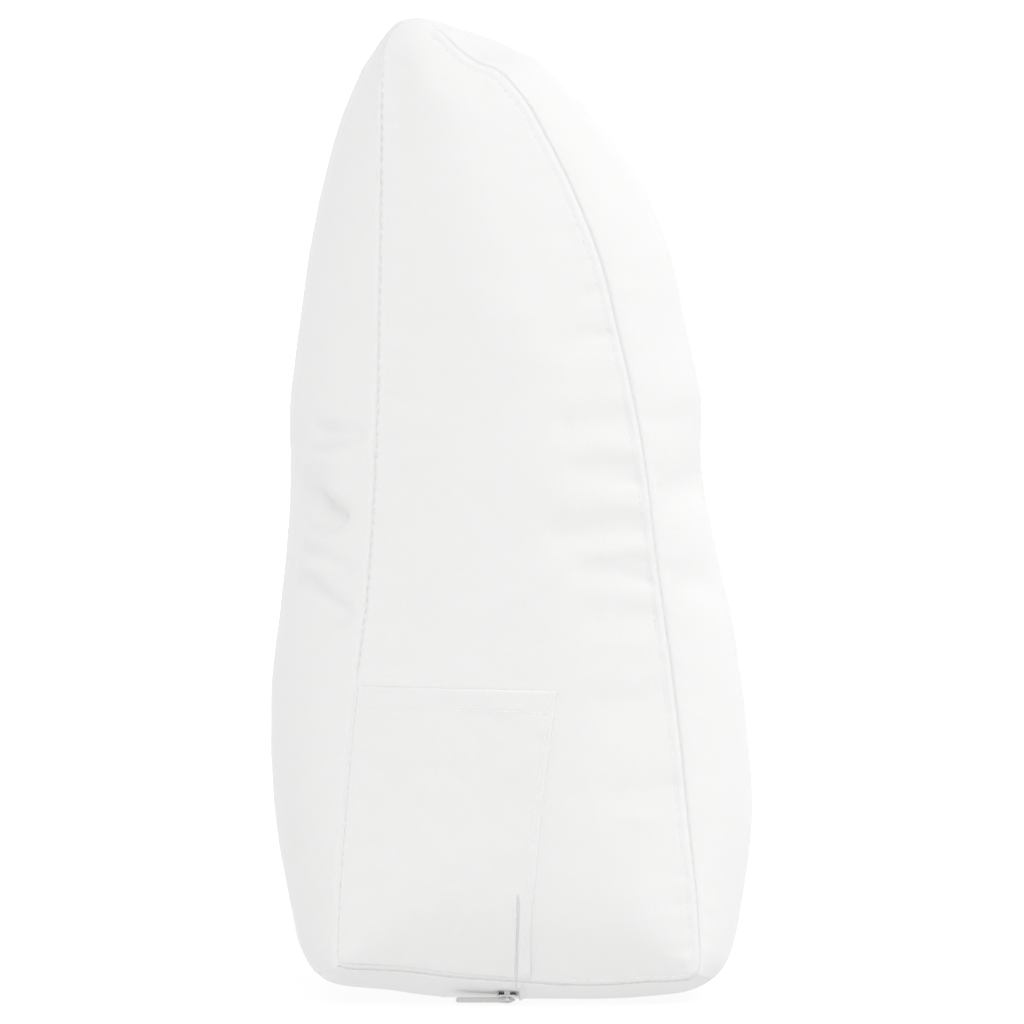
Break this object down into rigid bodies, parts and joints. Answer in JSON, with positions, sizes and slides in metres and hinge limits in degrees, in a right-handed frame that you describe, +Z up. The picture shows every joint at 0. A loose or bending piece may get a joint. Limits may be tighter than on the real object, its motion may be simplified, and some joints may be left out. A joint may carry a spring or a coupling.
{
  "type": "wedge pillow",
  "caption": "Upright wedge pillow in white woven linen-look cloth, with a sewn-on side pocket and a zip at its near end.",
  "frame": {"origin": "middle of the pillow's outline, on the surface that its base rests on", "axes": "+X towards the sloped front, -Y towards the end with the pocket and the zip, +Z up"},
  "size_m": [0.2531, 0.616, 0.5075],
  "materials": {
    "cover_cloth": "matte woven linen look, off-white",
    "pocket_cloth": "matte woven linen look, off-white",
    "slider_metal": "satin cast metal",
    "puller_enamel": "light grey coated metal"
  },
  "bodies": {
    "root": {"filled_cover": "cover_cloth", "patch_pocket": "pocket_cloth", "zip_slider": "slider_metal", "zip_puller": "puller_enamel"}
  },
  "joints": []
}
